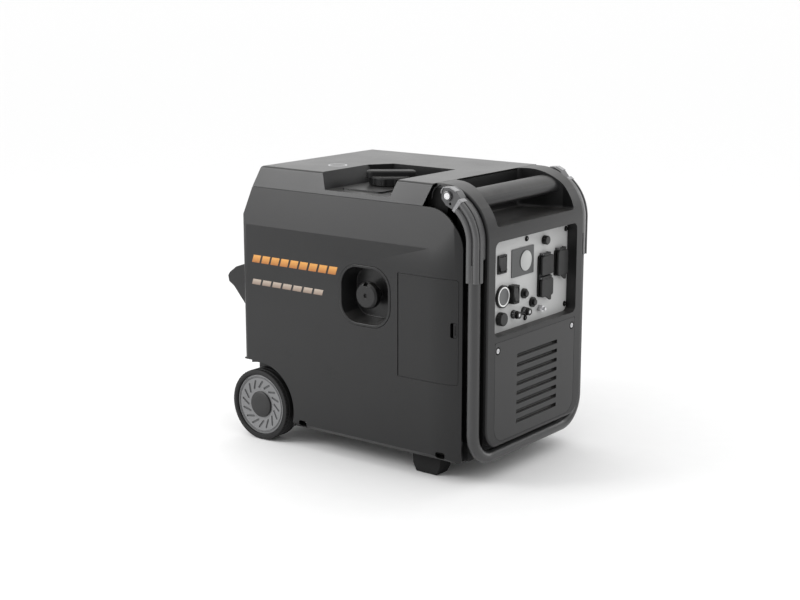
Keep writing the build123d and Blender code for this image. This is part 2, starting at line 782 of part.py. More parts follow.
with BuildPart() as switch_housings:
    # start bezel, rocker frame, breaker case and the two reset collars
    ring(front_plane(plate_x), (start_y, start_z), 19.5, 14.3, bezel_height)
    rounded(front_plane(plate_x), (rocker_y, rocker_z), 26, 32, 2, 3)
    rounded(front_plane(plate_x - 1), (rocker_y, rocker_z), 20, 26.6, 1, 6, mode=Mode.SUBTRACT)
    rounded(front_plane(plate_x), (breaker_y, breaker_z), 18, 32, 2, breaker_depth)
    breaker_well = front_plane(plate_x + 3)
    rounded(breaker_well, (breaker_y, breaker_z), 13, 26, 0.5, 20, mode=Mode.SUBTRACT)
    for _, y, z in reset_points:
        ring(front_plane(plate_x), (y, z), 8.8, 5.6, 4.5)
save(switch_housings.part, "switch_housings")

rocker_tilt, lever_tilt = 8, 6
with BuildPart() as output_rocker:
    with BuildSketch(side_plane(rocker_y + 9.6)) as face:
        with BuildLine():
            Polyline(
                (plate_x - 3, rocker_z - 8),
                (plate_x + 1, rocker_z - 11.5),
                (plate_x + 4.5, rocker_z - 11.5),
                (plate_x + 3.4, rocker_z),
                (plate_x + 4.5, rocker_z + 11.5),
                (plate_x + 1, rocker_z + 11.5),
                (plate_x - 3, rocker_z + 8),
                close=True,
            )
        make_face()
    extrude(amount=19.2)
    disc(side_plane(rocker_y + 9.9), (plate_x, rocker_z), 1.2, 19.8)
rocker_axis = Axis((plate_x, 0, rocker_z), (0, 1, 0))
save(output_rocker.part.rotate(rocker_axis, -rocker_tilt), "output_rocker")

lever_x = plate_x + 9
with BuildPart() as breaker_lever:
    # broad paddle that rocks on two stub pins and lies almost flush in its case
    prism(
        side_plane(breaker_y + 6),
        [
            (lever_x - 3, breaker_z - 6),
            (lever_x, breaker_z - 11.6),
            (lever_x + 3.4, breaker_z - 11.6),
            (lever_x + 2.8, breaker_z),
            (lever_x + 3.4, breaker_z + 11.6),
            (lever_x, breaker_z + 11.6),
            (lever_x - 3, breaker_z + 6),
        ],
        12,
    )
    disc(side_plane(breaker_y + 6.4), (lever_x, breaker_z), 1.5, 12.8)
lever_axis = Axis((lever_x, 0, breaker_z), (0, 1, 0))
save(breaker_lever.part.rotate(lever_axis, -lever_tilt), "breaker_lever")

with BuildPart() as start_button:
    disc(front_plane(plate_x - 4), (start_y, start_z), 14, 4.2 + bezel_height)
    fillet(start_button.faces().sort_by(Axis.X)[-1].edges(), 0.6)
save(start_button.part, "start_button")

for name, y, z in reset_points:
    with BuildPart() as reset_button:
        disc(front_plane(plate_x - 4), (y, z), 5.4, 13)
        fillet(reset_button.faces().sort_by(Axis.X)[-1].edges(), 1)
    save(reset_button.part, f"reset_button_{name}")


def fluted_knob(y, z, radius, height, flutes):
    with BuildPart() as knob:
        disc(front_plane(plate_x - 12), (y, z), 3, 14)
        disc(front_plane(plate_x + 0.5), (y, z), radius, height)
        chamfer(knob.faces().sort_by(Axis.X)[-1].edges(), 1.2)
        with BuildSketch(front_plane(plate_x + 2.5)):
            with Locations((y, z)):
                with PolarLocations(radius + 0.6, flutes):
                    Circle(1.5)
        extrude(amount=height, mode=Mode.SUBTRACT)
    return knob.part


save(fluted_knob(mode_y, mode_z, 8, 9, 10), "mode_knob")
save(fluted_knob(valve_y, valve_z, 11.7, 10.5, 12), "fuel_valve_knob")

with BuildPart() as terminal_posts:
    # two parallel-running terminals and the threaded earth stud
    for y, z in terminal_points:
        disc(front_plane(plate_x), (y, z), 6.5, 8)
        disc(front_plane(plate_x + 8), (y, z), 5, 6)
    disc(front_plane(plate_x), (ground_y, ground_z), 6, 1.5)
    disc(front_plane(plate_x + 1.5), (ground_y, ground_z), 3, 12)
save(terminal_posts.part, "terminal_posts")

nut_x = plate_x + 2.2
wing = [(0, 3), (4.5, 3), (7.5, 7.5), (7, 9.5), (4, 9)]
with BuildPart() as ground_nut:
    disc(front_plane(nut_x), (ground_y, ground_z), 5.5, 6)
    for side in (-1, 1):
        points = [(nut_x + out, ground_y + side * reach) for out, reach in wing]
        prism(Plane.XY.offset(ground_z - 1.5), points, 3)
    disc(front_plane(nut_x - 1), (ground_y, ground_z), 3 + running_fit, 20, mode=Mode.SUBTRACT)
save(ground_nut.part, "ground_nut")

with BuildPart() as duplex_socket:
    rounded(front_plane(plate_x), (duplex_y, duplex_z), duplex_w, duplex_h, 4, 4)
    rounded(front_plane(plate_x - 14), (duplex_y, duplex_z), duplex_w - 8.4, duplex_h - 8.4, 4, 14)
    for dz in (18.5, -18.5):
        rounded(front_plane(plate_x + 4), (duplex_y, duplex_z + dz - 1), 27, 24, 8, 1)
        for dy in (-6.3, 6.3):
            slot_at = (duplex_y + dy, duplex_z + dz + 3)
            rounded(front_plane(plate_x - 2), slot_at, 1.8, 8, 0.6, 20, mode=Mode.SUBTRACT)
        disc(front_plane(plate_x - 2), (duplex_y, duplex_z + dz - 8), 2.4, 20, mode=Mode.SUBTRACT)
save(duplex_socket.part, "duplex_socket")

with BuildPart() as twistlock_socket:
    rounded(front_plane(plate_x), (twist_y, twist_z), twist_w, twist_h, 4, 4)
    disc(front_plane(plate_x - 20), (twist_y, twist_z), 13.8, 20)
    disc(front_plane(plate_x + 4), (twist_y, twist_z), 14, 1)
    # three curved blade slots
    with BuildSketch(front_plane(plate_x - 6)):
        with Locations((twist_y, twist_z)):
            for turn in (90, 210, 330):
                SlotArc(CenterArc((0, 0), 9, turn - 25, 50), 1.8)
    extrude(amount=20, mode=Mode.SUBTRACT)
save(twistlock_socket.part, "twistlock_socket")

flap_x = plate_x + 6.6  # back face of the outlet covers
flap_depth = 4


def outlet_flap(y, hinge_z, top, low, width, barrel, tail=0):
    # soft cover hung from a rolled edge, with a slanted pull tab below
    with BuildPart() as flap:
        rounded(front_plane(flap_x), (y, (top + low) / 2), width, top - low, 5, flap_depth)
        fillet(flap.faces().sort_by(Axis.X)[-1].edges(), 1.5)
        block(flap_x - 1, flap_x + 2.5, y - barrel / 2, y + barrel / 2, top - 3, hinge_z)
        disc(side_plane(y + barrel / 2), (flap_x, hinge_z), 2.2, barrel)
        if tail:
            tab = [(y - 8, low + 3), (y + tail, low + 3), (y + tail - 1, low - 8), (y + tail - 6, low - 8)]
            prism(front_plane(flap_x), tab, 2.5)
        disc(side_plane(y + width), (flap_x, hinge_z), 1 + running_fit, 2 * width, mode=Mode.SUBTRACT)
    return flap.part


def flap_pin(y, hinge_z, barrel, back_x):
    # pin between two lugs
    disc(side_plane(y + barrel / 2 + 2.4), (flap_x, hinge_z), 1, barrel + 4.8)
    for side in (-1, 1):
        y0, y1 = sorted((y + side * (barrel / 2 + 0.4), y + side * (barrel / 2 + 2.4)))
        block(back_x, flap_x + 1.6, y0, y1, hinge_z - 1.7, hinge_z + 1.7)


duplex_top, duplex_low = duplex_z + duplex_h / 2, duplex_z - duplex_h / 2
twist_top, twist_low = twist_z + twist_h / 2, twist_z - twist_h / 2
hinge_rise = 2.2  # the upper hinges stand above their socket plates
short_barrel, long_barrel = 20, duplex_w - 8
split_hinge_z = duplex_z - 2.9
upper_flap = outlet_flap(
    duplex_y, duplex_top + hinge_rise, duplex_top - 0.5, duplex_z + 2, duplex_w, short_barrel
)
save(upper_flap, "duplex_flap_upper")
lower_flap = outlet_flap(
    duplex_y, split_hinge_z, split_hinge_z - 2, duplex_low, duplex_w, long_barrel, 15
)
save(lower_flap, "duplex_flap_lower")
twist_flap = outlet_flap(
    twist_y, twist_top + hinge_rise, twist_top - 0.5, twist_low, twist_w, short_barrel, 13
)
save(twist_flap, "twistlock_flap")

with BuildPart() as flap_pins:
    flap_pin(duplex_y, duplex_top + hinge_rise, short_barrel, plate_x)
    flap_pin(duplex_y, split_hinge_z, long_barrel, plate_x + 4)
    flap_pin(twist_y, twist_top + hinge_rise, short_barrel, plate_x)
save(flap_pins.part, "flap_pins")


def pan_screw(plane, at, head_r, shank_r, length):
    disc(plane, at, head_r, screw_head)
    disc(plane, at, shank_r, -length)
    with BuildSketch(plane.offset(1)) as cross:
        with Locations(at):
            Rectangle(head_r * 1.2, 0.9)
            Rectangle(0.9, head_r * 1.2)
    extrude(cross.sketch, amount=2, mode=Mode.SUBTRACT)


with BuildPart() as casing_screws:
    for y, z in plate_screws:
        pan_screw(front_plane(plate_x), (y, z), 3.2, 1.6, 8)
    for y in (-vent_screw_y, vent_screw_y):
        pan_screw(front_plane(front_x - screw_head), (y, vent_screw_z), 4.3, 2.6, 0.9)
save(casing_screws.part, "casing_screws")

# ================================================================ pull handle

with BuildPart() as handle_tube:
    with BuildLine(front_plane(tube_x)) as path:
        FilletPolyline(
            (-tube_y, sleeve_foot_z + 30),
            (-tube_y, crossbar_z),
            (tube_y, crossbar_z),
            (tube_y, sleeve_foot_z + 30),
            radius=tube_bend_r,
        )
    with BuildSketch(Plane((tube_x, -tube_y, sleeve_foot_z + 30), z_dir=(0, 0, -1))):
        Circle(tube_r)
        Circle(tube_bore_r, mode=Mode.SUBTRACT)
    sweep(path=path.line)
save(handle_tube.part, "handle_tube")

sleeve_x0, sleeve_x1 = corner_x + sleeve_in_r, corner_x + sleeve_out_r


def at_corner(radius, degrees):
    return corner_x + radius * cos(radians(degrees)), corner_z + radius * sin(radians(degrees))


def corner_band(plane, inner_r, outer_r, foot_z, degrees, amount, mode=Mode.ADD):
    # band that runs up the front and bends back round the top corner
    with BuildSketch(plane) as band:
        with BuildLine():
            up = Line((corner_x + outer_r, foot_z), (corner_x + outer_r, corner_z))
            outside = RadiusArc(up @ 1, at_corner(outer_r, degrees), -outer_r)
            end = Line(outside @ 1, at_corner(inner_r, degrees))
            inside = RadiusArc(end @ 1, (corner_x + inner_r, corner_z), inner_r)
            Polyline(inside @ 1, (corner_x + inner_r, foot_z), (corner_x + outer_r, foot_z))
        make_face()
    extrude(band.sketch, amount=amount, mode=mode)


with BuildPart() as handle_sleeves:
    for side in (-1, 1):
        y0, y1 = sorted((side * sleeve_inner_y, side * sleeve_outer_y))
        corner_band(side_plane(y1), sleeve_in_r, sleeve_out_r, sleeve_foot_z, sleeve_angle, y1 - y0)
    fillet(handle_sleeves.edges().filter_by(GeomType.CIRCLE).group_by(SortBy.RADIUS)[-1], 3)
    for side in (-1, 1):
        # the front inner band stops higher up
        y0, y1 = sorted((side * (sleeve_inner_y - 1), side * 160))
        prism(
            side_plane(y1),
            [(tube_x, 300), (tube_x, 384), (sleeve_x1 + 5, 396), (sleeve_x1 + 5, 300)],
            y1 - y0,
            mode=Mode.SUBTRACT,
        )
        # one long groove in the side and one in the front
        for low_r, high_r, low_y, high_y in (
            (sleeve_groove_r - 1, sleeve_groove_r + 1, sleeve_outer_y - 2, sleeve_outer_y + 5),
            (sleeve_out_r - 2, sleeve_out_r + 5, sleeve_groove_y - 1, sleeve_groove_y + 1),
        ):
            y0, y1 = sorted((side * low_y, side * high_y))
            corner_band(side_plane(y1), low_r, high_r, 364, 50, y1 - y0, Mode.SUBTRACT)
        disc(
            Plane.XY.offset(sleeve_foot_z - 5),
            (tube_x, side * tube_y),
            tube_r,
            35,
            mode=Mode.SUBTRACT,
        )
save(handle_sleeves.part, "handle_sleeves")

bracket_line = [
    (206.5, 501),
    (210.5, 507),
    (223.5, 508.2),
    (236, 502.6),
    at_corner(sleeve_out_r, sleeve_angle + 0.6),
    at_corner(sleeve_in_r, sleeve_angle + 0.6),
    (224, 474),
    (215, 478),
    (206.5, 488),
]
with BuildPart() as handle_brackets:
    for side in (-1, 1):
        y0, y1 = sorted((side * (sleeve_inner_y + 0.5), side * (sleeve_outer_y - 7)))
        with BuildSketch(side_plane(y1)) as plate:
            with BuildLine():
                Polyline(*bracket_line, close=True)
            make_face()
            rounded_ends = plate.vertices().filter_by(lambda v: v.X < 230)
            fillet(rounded_ends, 3)
        extrude(amount=y1 - y0)
    disc(side_plane(200), (pivot_x, pivot_z), bolt_r + running_fit, 400, mode=Mode.SUBTRACT)
    disc(side_plane(200), (pivot_x + 4.5, pivot_z - 13), 2.4, 400, mode=Mode.SUBTRACT)
save(handle_brackets.part, "handle_brackets")

with BuildPart() as handle_pivot_bolts:
    for side in (-1, 1):
        outward = -side
        disc(side_plane(side * (frame_y - wall - 2)), (pivot_x, pivot_z), bolt_r, outward * 26)
        disc(side_plane(side * (sleeve_outer_y - 6.6)), (pivot_x, pivot_z), 7.5, outward * 3)
        disc(side_plane(side * (frame_y - wall - 4)), (pivot_x, pivot_z), 7, outward * 4)
save(handle_pivot_bolts.part, "handle_pivot_bolts")

# ================================================================ fuel system

with BuildPart() as fuel_tank:
    block(-150, 150, -128, 128, 385, 455)
    fillet(fuel_tank.edges(), 12)
    disc(Plane.XY.offset(450), (cap_x, cap_y), neck_r, 43)
    disc(Plane.XY.offset(425), (cap_x, cap_y), neck_r - 3, 70, mode=Mode.SUBTRACT)
save(fuel_tank.part, "fuel_tank")

# ================================================================ engine and generator

with BuildPart() as engine_block:
    disc(side_plane(52), (crank_x, crank_z), 72, 104)
    block(-38, 98, -52, 52, 80, 190)
    # air-cooled cylinder lying towards the rear, with its fins and head
    block(-105, -20, -34, 34, 205, 275)
    for fin in range(6):
        block(-100 + 10 * fin, -96 + 10 * fin, -48, 48, 192, 288)
    block(-128, -105, -44, 44, 196, 284)
    for x, y in ((-25, -40), (-25, 40), (85, -40), (85, 40)):
        block(x - 12, x + 12, y - 12, y + 12, 70, 82)
    disc(side_plane(60), (crank_x, crank_z), crank_r + running_fit, 120, mode=Mode.SUBTRACT)
save(engine_block.part, "engine_block")

with BuildPart() as engine_mounts:
    for x, y in ((-25, -40), (-25, 40), (85, -40), (85, 40)):
        disc(Plane.XY.offset(base_z + wall), (x, y), 11, 70 - base_z - wall)
save(engine_mounts.part, "engine_mounts")

with BuildPart() as crankshaft:
    disc(side_plane(118), (crank_x, crank_z), crank_r, 238)
    chamfer(crankshaft.edges().filter_by(GeomType.CIRCLE), 1)
save(crankshaft.part, "crankshaft")

with BuildPart() as flywheel_fan:
    ring(side_plane(-92), (crank_x, crank_z), 62, crank_r, 8)
    with BuildSketch(side_plane(-100)):
        with Locations((crank_x, crank_z)):
            with PolarLocations(47, 14):
                Rectangle(26, 3, rotation=20)
    extrude(amount=16)
    ring(side_plane(-92), (crank_x, crank_z), 22, crank_r, 20)
save(flywheel_fan.part, "flywheel_fan")

with BuildPart() as stator:
    ring(side_plane(104), (crank_x, crank_z), 74, 58, 44)
    with BuildSketch(side_plane(104)):
        with Locations((crank_x, crank_z)):
            with PolarLocations(54, 18):
                Rectangle(10, 8)
    extrude(amount=44)
save(stator.part, "stator")

with BuildPart() as rotor:
    ring(side_plane(102), (crank_x, crank_z), 47, crank_r, 40)
save(rotor.part, "rotor")

with BuildPart() as inverter_module:
    block(206, 240, -90, 90, 85, 235)
    for fin in range(11):
        block(190, 206, -87.5 + 17 * fin, -82.5 + 17 * fin, 90, 230)
save(inverter_module.part, "inverter_module")

with BuildPart() as muffler:
    rounded(side_plane(100), (-180, 235), 70, 110, 30, 150)
    disc(front_plane(rear_x - 6), (exhaust_y, exhaust_z), exhaust_r, 40)
    disc(front_plane(rear_x - 7), (exhaust_y, exhaust_z), exhaust_r - 4, 30, mode=Mode.SUBTRACT)
save(muffler.part, "muffler")

with BuildPart() as air_filter_box:
    block(135, 195, -158, -112, 195, 335)
    fillet(air_filter_box.edges().filter_by(Axis.Y), 8)
save(air_filter_box.part, "air_filter_box")

with BuildPart() as carburettor:
    block(108, 133, -148, -118, 262, 300)
    disc(front_plane(133), (-133, 281), 13, 2)
    disc(Plane.XY.offset(244), (120.5, -133), 12, 18)
save(carburettor.part, "carburettor")

with BuildPart() as spark_plug:
    disc(front_plane(-128), (0, 262), 7, -5)
    disc(front_plane(-133), (0, 262), 5, -9)
save(spark_plug.part, "spark_plug")

with BuildPart() as battery:
    block(118, 178, 10, 110, base_z + wall, 145)
    for y in (28, 92):
        disc(Plane.XY.offset(145), (148, y), 6, 8)
save(battery.part, "battery")
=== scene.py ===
import json
import math
import bmesh
import bpy
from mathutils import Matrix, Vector


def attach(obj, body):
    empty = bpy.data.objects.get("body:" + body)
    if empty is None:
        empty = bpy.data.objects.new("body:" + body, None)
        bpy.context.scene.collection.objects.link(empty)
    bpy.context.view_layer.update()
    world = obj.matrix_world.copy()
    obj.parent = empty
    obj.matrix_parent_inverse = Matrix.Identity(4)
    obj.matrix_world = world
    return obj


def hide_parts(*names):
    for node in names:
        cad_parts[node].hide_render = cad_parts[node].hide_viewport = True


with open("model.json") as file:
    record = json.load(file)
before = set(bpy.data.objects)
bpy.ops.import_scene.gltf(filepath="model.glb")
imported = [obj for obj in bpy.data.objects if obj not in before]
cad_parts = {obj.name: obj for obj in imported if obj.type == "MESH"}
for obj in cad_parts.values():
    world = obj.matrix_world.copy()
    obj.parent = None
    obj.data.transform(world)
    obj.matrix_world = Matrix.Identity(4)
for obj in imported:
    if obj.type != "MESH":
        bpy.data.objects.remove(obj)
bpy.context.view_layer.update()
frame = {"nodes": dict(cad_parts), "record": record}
scene = bpy.context.scene
record = frame["record"]
bodyOf = {node: body for body, nodes in record["behaviour"]["bodies"].items() for node in nodes}
slotOf = {part["node"]: part["material_slot"] for part in record["subparts"]}
mm = 0.001
print("frame loaded,", len(bodyOf), "nodes")

# camera

cameraView = {"place": (1.63381, -2.15250, 0.85573), "azimuth": 37.35, "elevation": 12.43, "lens": 67.47}
azimuth, elevation = (math.radians(cameraView[key]) for key in ("azimuth", "elevation"))
towards = -Vector(
    (
        math.sin(azimuth) * math.cos(elevation),
        -math.cos(azimuth) * math.cos(elevation),
        math.sin(elevation),
    )
)
cameraData = bpy.data.cameras.new("camera")
cameraData.lens = cameraView["lens"]
cameraData.sensor_width = 36
cameraData.clip_end = 300
camera = bpy.data.objects.new("camera", cameraData)
camera.location = cameraView["place"]
camera.rotation_mode = "QUATERNION"
camera.rotation_quaternion = towards.to_track_quat("-Z", "Y")
scene.collection.objects.link(camera)
scene.camera = camera
scene.view_settings.view_transform = "Standard"

# node tools


class Wire:  # a number on its way through a node tree
    def __init__(self, board, socket):
        self.board, self.socket = board, socket

    def maths(self, operation, first, second):
        return self.board.node("ShaderNodeMath", {"operation": operation}, {0: first, 1: second})

    def __add__(self, other):
        return self.maths("ADD", self, other)

    def __sub__(self, other):
        return self.maths("SUBTRACT", self, other)

    def __rsub__(self, other):
        return self.maths("SUBTRACT", other, self)

    def __mul__(self, other):
        return self.maths("MULTIPLY", self, other)

    def __gt__(self, other):
        return self.maths("GREATER_THAN", self, other)

    __radd__, __rmul__ = __add__, __mul__


class Board:  # a node tree with short ways to add to it
    def __init__(self, tree):
        self.tree = tree
        tree.nodes.clear()
        self.place = self.node("ShaderNodeTexCoord", output="Object")

    def node(self, kind, settings=None, inputs=None, output=0):
        made = self.tree.nodes.new(kind)
        for name, value in (settings or {}).items():
            setattr(made, name, value)
        for name, value in (inputs or {}).items():
            if isinstance(value, Wire):
                self.tree.links.new(value.socket, made.inputs[name])
            else:
                made.inputs[name].default_value = value
        return Wire(self, made.outputs[output]) if made.outputs else None

    def noise(self, scale, detail=2.0, stretch=(1, 1, 1)):
        place = self.node(
            "ShaderNodeVectorMath", {"operation": "MULTIPLY"}, {0: self.place, 1: stretch}
        )
        return self.node("ShaderNodeTexNoise", None, {"Vector": place, "Scale": scale, "Detail": detail})

    def mix(self, factor, first, second):
        colours = {6: (*first, 1) if isinstance(first, tuple) else first, 7: (*second, 1)}
        return self.node("ShaderNodeMix", {"data_type": "RGBA"}, {0: factor, **colours}, output=2)

    def bump(self, height, distance, strength=1.0):
        return self.node(
            "ShaderNodeBump", None, {"Height": height, "Distance": distance, "Strength": strength}
        )


materials = {}


def paint(name, build):
    material = bpy.data.materials.new(name)
    material.use_nodes = True
    board = Board(material.node_tree)
    surface = build(board)
    fixed = {"IOR": 1.5, **surface}
    shader = board.node("ShaderNodeBsdfPrincipled", None, fixed)
    board.node("ShaderNodeOutputMaterial", None, {"Surface": shader})
    materials[name] = material


def lift(colour, amount):
    return tuple(min(1, channel * amount) for channel in colour)


# finishes

plastics = {
    "body_plastic": {"colour": (0.0085, 0.0085, 0.0088), "rough": 0.31, "grain": 0.7, "shine": 0.32},
    "frame_plastic": {"colour": (0.0082, 0.0082, 0.0085), "rough": 0.4, "grain": 0.6, "shine": 0.36},
    "vent_plastic": {"colour": (0.0125, 0.0125, 0.0128), "rough": 0.44, "grain": 0.7, "shine": 0.45},
    "black_plastic": {"colour": (0.0045, 0.0045, 0.0047), "rough": 0.5, "grain": 0.8, "shine": 0.3},
    "tray_plastic": {"colour": (0.006, 0.006, 0.0063), "rough": 0.6, "grain": 1.1, "shine": 0.35},
    "knob_plastic": {"colour": (0.005, 0.005, 0.0052), "rough": 0.36, "grain": 0.5, "shine": 0.35},
    "cap_plastic": {"colour": (0.005, 0.005, 0.0052), "rough": 0.5, "grain": 0.8, "shine": 0.2},
    "hub_plastic": {"colour": (0.0095, 0.0095, 0.0098), "rough": 0.45, "grain": 0.7, "shine": 0.4},
    "display_grey": {"colour": (0.05, 0.051, 0.052), "rough": 0.35, "grain": 0.4, "shine": 0.4},
    "button_grey": {"colour": (0.10, 0.102, 0.104), "rough": 0.4, "grain": 0.5, "shine": 0.4},
    "tank_plastic": {"colour": (0.03, 0.031, 0.03), "rough": 0.55, "grain": 1.4, "shine": 0.5},
    "pale_plastic": {"colour": (0.75, 0.755, 0.75), "rough": 0.35, "grain": 0.4, "shine": 0.5},
    "dial_grey": {"colour": (0.40, 0.405, 0.40), "rough": 0.35, "grain": 0.4, "shine": 0.4},
    "sleeve_satin": {"colour": (0.05, 0.05, 0.051), "rough": 0.34, "grain": 0.6, "shine": 0.6},
    # a near-black copy of black plastic, used as painted shade in the channel, seams, louvre slots and screw
    # seats
    "painted_shade_black": {"colour": (0.002, 0.002, 0.002), "rough": 0.6, "grain": 0.8, "shine": 0.12},
    "gloss_black": {"colour": (0.004, 0.004, 0.004), "rough": 0.25, "grain": 0.5, "shine": 0.35},
}


def mouldedPlastic(look):
    # sparked-mould grain, slow clouding of the gloss, and a trace of dust on faces that look up
    def build(board):
        grain = board.noise(1 / (look["grain"] * mm), detail=1)
        cloud = board.noise(14, detail=3)
        facing = board.node("ShaderNodeNewGeometry", output="Normal")
        upward = board.node("ShaderNodeSeparateXYZ", None, {0: facing}, 2)
        dust = (upward > 0.6) * board.noise(60, detail=4) * 0.05
        shade = board.mix(cloud, lift(look["colour"], 0.88), lift(look["colour"], 1.12))
        speckled = board.mix(grain * 0.12, shade, lift(look["colour"], 1.5))
        return {
            "Base Color": board.mix(dust, speckled, (0.5, 0.48, 0.45)),
            "Roughness": (cloud - 0.5) * 0.1 + (grain - 0.5) * 0.1 + look["rough"],
            "Specular IOR Level": look["shine"],
            "Normal": board.bump(grain, 0.03 * mm, 0.6),
        }

    return build


rubbers = {
    "flap_rubber": {"colour": (0.0065, 0.0065, 0.0067), "rough": 0.55, "grain": 0.9},
    "tyre_rubber": {"colour": (0.0065, 0.0065, 0.0067), "rough": 0.65, "grain": 1.2},
    "foot_rubber": {"colour": (0.0012, 0.0012, 0.0013), "rough": 0.8, "grain": 1.5},
}


def dullRubber(look):
    # soft grain with rubbed, slightly paler patches
    def build(board):
        grain = board.noise(1 / (look["grain"] * mm), detail=3)
        rubbed = board.noise(35, detail=5)
        worn = (rubbed > 0.58) * (rubbed - 0.58) * 3
        shade = board.mix(grain, lift(look["colour"], 0.8), lift(look["colour"], 1.25))
        return {
            "Base Color": board.mix(worn, shade, lift(look["colour"], 2.2)),
            "Roughness": (rubbed - 0.5) * 0.18 + look["rough"],
            "Specular IOR Level": 0.35,
            "Normal": board.bump(grain, 0.08 * mm, 0.7),
        }

    return build


paints = {
    "handle_steel": {"colour": (0.026, 0.026, 0.0265), "rough": 0.36, "metal": 0.0, "coat": 0.12, "peel": 5},
    "panel_grey": {"colour": (0.40, 0.402, 0.40), "rough": 0.42, "metal": 0.0, "coat": 0.0, "peel": 3},
    "rim_silver": {"colour": (0.145, 0.146, 0.149), "rough": 0.42, "metal": 0.25, "coat": 0.15, "peel": 3},
    # a darkened copy of rim silver, painted shade inside the rim slots
    "rim_painted_shade": {"colour": (0.06, 0.061, 0.062), "rough": 0.5, "metal": 0.2, "coat": 0.0, "peel": 3},
    "bracket_steel": {"colour": (0.055, 0.055, 0.057), "rough": 0.3, "metal": 0.3, "coat": 0.3, "peel": 2},
    "plug_edge": {"colour": (0.42, 0.42, 0.43), "rough": 0.35, "metal": 0.2, "coat": 0.1, "peel": 2},
    # a lighter copy of bracket steel, painted highlight on the bracket's top edge and on the sleeve collars
    "bracket_painted_highlight": {"colour": (0.2, 0.2, 0.205), "rough": 0.3, "metal": 0.5, "coat": 0.3, "peel": 2},
}


def sprayedPaint(look):
    # orange peel under a thin flake
    def build(board):
        peel = board.noise(1 / (look["peel"] * mm), detail=2)
        flake = board.noise(4000, detail=0)
        cloud = board.noise(10, detail=2)
        shade = board.mix(cloud, lift(look["colour"], 0.94), lift(look["colour"], 1.06))
        return {
            "Base Color": board.mix((flake > 0.6) * 0.3, shade, lift(look["colour"], 1.35)),
            "Roughness": (cloud - 0.5) * 0.12 + look["rough"],
            "Metallic": look["metal"],
            "Coat Weight": look["coat"],
            "Coat Roughness": 0.08,
            "Normal": board.bump(peel, 0.05 * mm, 0.35),
        }

    return build


metals = {
    "bright_steel": {"colour": (0.62, 0.62, 0.63), "rough": 0.28, "grain": (1, 40, 40), "tarnish": 0.12},
    "dark_steel": {"colour": (0.16, 0.16, 0.165), "rough": 0.4, "grain": (1, 1, 30), "tarnish": 0.3},
    "exhaust_steel": {"colour": (0.3, 0.27, 0.24), "rough": 0.45, "grain": (30, 1, 30), "tarnish": 0.6},
    "cast_aluminium": {"colour": (0.42, 0.42, 0.43), "rough": 0.5, "grain": (1, 1, 1), "tarnish": 0.3},
    "copper_winding": {"colour": (0.6, 0.24, 0.1), "rough": 0.35, "grain": (1, 60, 1), "tarnish": 0.35},
}


def bareMetal(look):
    # fine drawn lines along one way, with tarnish in slow patches
    def build(board):
        lines = board.noise(60, detail=6, stretch=look["grain"])
        patches = board.noise(25, detail=4)
        stain = (patches > 0.5) * (patches - 0.5) * look["tarnish"] * 4
        shade = board.mix(lines, lift(look["colour"], 0.75), lift(look["colour"], 1.15))
        return {
            "Base Color": board.mix(stain, shade, lift(look["colour"], 0.4)),
            "Roughness": (lines - 0.5) * 0.25 + stain * 0.3 + look["rough"],
            "Metallic": 0.95,
            "Normal": board.bump(lines, 0.03 * mm, 0.5),
        }

    return build


stripes = {
    # low and high are where the fade ends, in millimetres above the floor
    "stripe_amber": {"pale": (0.62, 0.31, 0.08), "deep": (0.26, 0.085, 0.02), "low": 332, "high": 350},
    "stripe_silver": {"pale": (0.42, 0.36, 0.30), "deep": (0.16, 0.11, 0.085), "low": 291, "high": 306},
}


def foilStripe(look):
    # colour deepens towards the lower edge of the foil, as a gradient print does
    def build(board):
        height = board.node("ShaderNodeSeparateXYZ", None, {0: board.place}, 2)
        low, high = look["low"] * mm, look["high"] * mm
        fade = board.node("ShaderNodeMapRange", None, {0: height, 1: low, 2: high, 3: 0.0, 4: 1.0})
        grain = board.noise(900, detail=2)
        return {
            "Base Color": board.mix(fade, look["deep"], look["pale"]),
            "Roughness": (grain - 0.5) * 0.2 + 0.34,
            "Metallic": 0.4,
            "Normal": board.bump(grain, 0.02 * mm, 0.4),
        }

    return build


for looks, recipe in (
    (plastics, mouldedPlastic),
    (rubbers, dullRubber),
    (paints, sprayedPaint),
    (metals, bareMetal),
    (stripes, foilStripe),
):
    for name, look in looks.items():
        paint(name, recipe(look))
for node, part in frame["nodes"].items():
    part.data.materials.clear()
    part.data.materials.append(materials[slotOf[node]])
print("finishes made,", len(materials))

# floor and light

studio = {
    "floor": 0.72,
    "floorSize": 160,
    "base": 0.45,  # glow from every side
    "overhead": 1.1,
    "behind": 0.56,  # keeps the backdrop white and the top face pale
    "window": 4.3,  # broad soft box on the starter side
}


def makeFloor(board):
    speck = board.noise(30, detail=3)
    pale = (studio["floor"],) * 3
    return {"Base Color": board.mix(speck, lift(pale, 0.985), lift(pale, 1.015)), "Roughness": 0.8}


paint("floor", makeFloor)
floorMesh = bpy.data.meshes.new("floor")
half = studio["floorSize"] / 2
drop = -0.4 * mm
corners = [(-half, -half, drop), (half, -half, drop), (half, half, drop), (-half, half, drop)]
floorMesh.from_pydata(corners, [], [(0, 1, 2, 3)])
floorMesh.materials.append(materials["floor"])
floor = bpy.data.objects.new("floor", floorMesh)
scene.collection.objects.link(floor)

world = bpy.data.worlds.new("studio")
world.use_nodes = True
scene.world = world
air = Board(world.node_tree)
direction = air.node("ShaderNodeTexCoord", output="Generated")


def lobe(towards, width):
    # a soft patch of light round one direction
    along = air.node("ShaderNodeVectorMath", {"operation": "DOT_PRODUCT"}, {0: direction, 1: towards}, 1)
    return air.node(
        "ShaderNodeMapRange",
        {"interpolation_type": "SMOOTHSTEP"},
        {0: along, 1: math.cos(math.radians(width)), 2: 1.0, 3: 0.0, 4: 1.0},
    )


